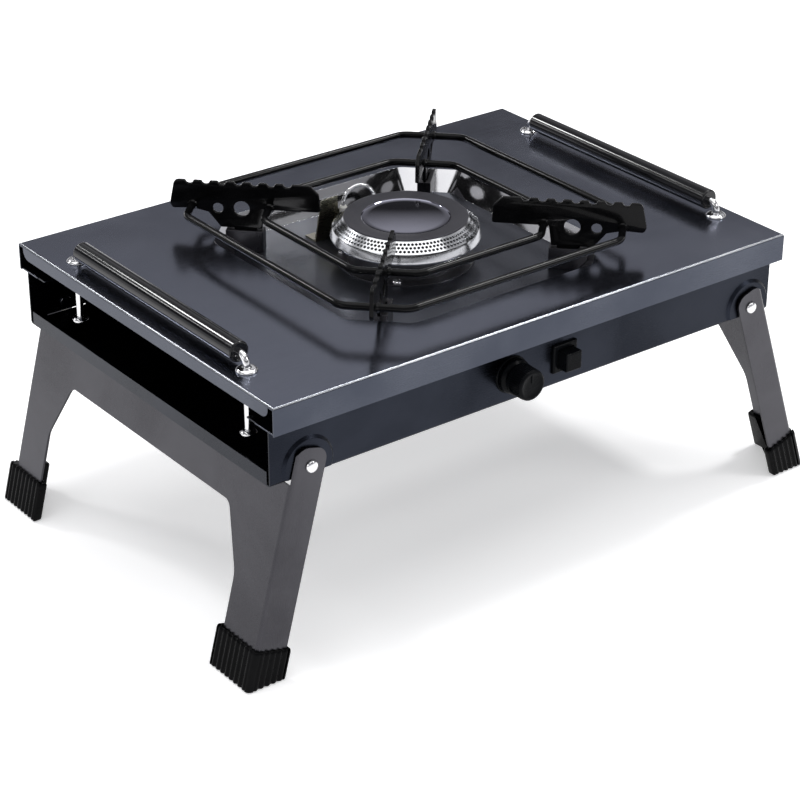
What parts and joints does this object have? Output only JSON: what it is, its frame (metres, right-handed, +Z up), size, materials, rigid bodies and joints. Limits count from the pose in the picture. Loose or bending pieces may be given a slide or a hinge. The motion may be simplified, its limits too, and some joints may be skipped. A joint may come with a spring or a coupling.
{
  "type": "camping stove",
  "caption": "Single-burner table-top gas stove: steel worktop, folding sheet-metal leg frames with rubber shoes, drop-down carrying handles, lift-off wire pan support, knob and igniter.",
  "frame": {"origin": "on the floor, under the middle of the stove's bounding box", "axes": "+Z up, +X to the user's right, -Y towards the user (the knob's side)"},
  "size_m": [0.404, 0.268, 0.1918],
  "materials": {
    "worktop_steel": "dark tinted stainless sheet, half mirror",
    "housing_steel": "dark coated sheet steel, satin",
    "leg_steel": "dark satin stainless sheet",
    "bright_steel": "bright plated steel",
    "burner_steel": "polished stainless",
    "black_enamel": "glossy black enamel",
    "grip_plastic": "glossy black sleeve",
    "black_plastic": "moulded black plastic",
    "foot_rubber": "black rubber",
    "brass": "turned brass",
    "pipe_metal": "drawn aluminium pipe",
    "ceramic": "glazed white ceramic",
    "lead_sheath": "silicone insulation",
    "nylon": "black nylon"
  },
  "bodies": {
    "stove": {"top_plate": "worktop_steel", "housing": "housing_steel", "leg_rivets": "bright_steel", "leg_washers": "nylon", "flange_screws": "bright_steel", "handle_ferrules": "bright_steel", "pan_support_sockets": "leg_steel", "burner_cup": "burner_steel", "burner_rim": "burner_steel", "burner_port_ring": "burner_steel", "burner_cap": "burner_steel", "burner_screws": "bright_steel", "mixing_tube": "pipe_metal", "valve_body": "brass", "gas_jet": "brass", "gas_pipe": "pipe_metal", "gas_inlet": "brass", "inlet_bracket": "leg_steel", "knob_bezel": "black_plastic", "igniter_bezel": "black_plastic", "spark_unit": "nylon", "electrode_lead": "lead_sheath", "electrode_rod": "bright_steel", "electrode_insulator": "ceramic", "electrode_bracket": "leg_steel", "bracket_screw": "bright_steel"},
    "left_leg": {"left_leg_frame": "leg_steel", "foot_front_left": "foot_rubber", "foot_back_left": "foot_rubber"},
    "right_leg": {"right_leg_frame": "leg_steel", "foot_front_right": "foot_rubber", "foot_back_right": "foot_rubber"},
    "left_handle": {"left_handle_rod": "bright_steel", "left_handle_grip": "grip_plastic", "left_handle_stops": "bright_steel"},
    "right_handle": {"right_handle_rod": "bright_steel", "right_handle_grip": "grip_plastic", "right_handle_stops": "bright_steel"},
    "pan_support": {"pan_support_outer_ring": "black_enamel", "pan_support_inner_ring": "black_enamel", "pan_support_fin_1": "black_enamel", "pan_support_fin_2": "black_enamel", "pan_support_fin_3": "black_enamel", "pan_support_fin_4": "black_enamel"},
    "knob": {"control_knob": "black_plastic", "valve_stem": "brass"},
    "button": {"igniter_button": "black_plastic", "igniter_plunger": "nylon"}
  },
  "joints": [
    {"name": "left_leg_fold", "type": "hinge", "parent": "stove", "child": "left_leg", "pos_m": [-0.15786, 0.00095, 0.119], "axis": [0, -1, 0], "range_deg": [0, 90]},
    {"name": "right_leg_fold", "type": "hinge", "parent": "stove", "child": "right_leg", "pos_m": [0.14854, 0.00095, 0.119], "axis": [0, 1, 0], "range_deg": [0, 90]},
    {"name": "left_handle_lift", "type": "slide", "parent": "stove", "child": "left_handle", "axis": [0, 0, 1], "range_m": [0, 0.028]},
    {"name": "right_handle_lift", "type": "slide", "parent": "stove", "child": "right_handle", "axis": [0, 0, 1], "range_m": [0, 0.028]},
    {"name": "pan_support_lift", "type": "slide", "parent": "stove", "child": "pan_support", "axis": [0, 0, 1], "range_m": [0, 0.06]},
    {"name": "knob_turn", "type": "hinge", "parent": "stove", "child": "knob", "pos_m": [-0.02536, -0.12405, 0.1285], "axis": [0, -1, 0], "range_deg": [0, 180]},
    {"name": "igniter_press", "type": "slide", "parent": "stove", "child": "button", "axis": [0, 1, 0], "range_m": [0, 0.004], "stiffness_N_per_m": 800}
  ]
}
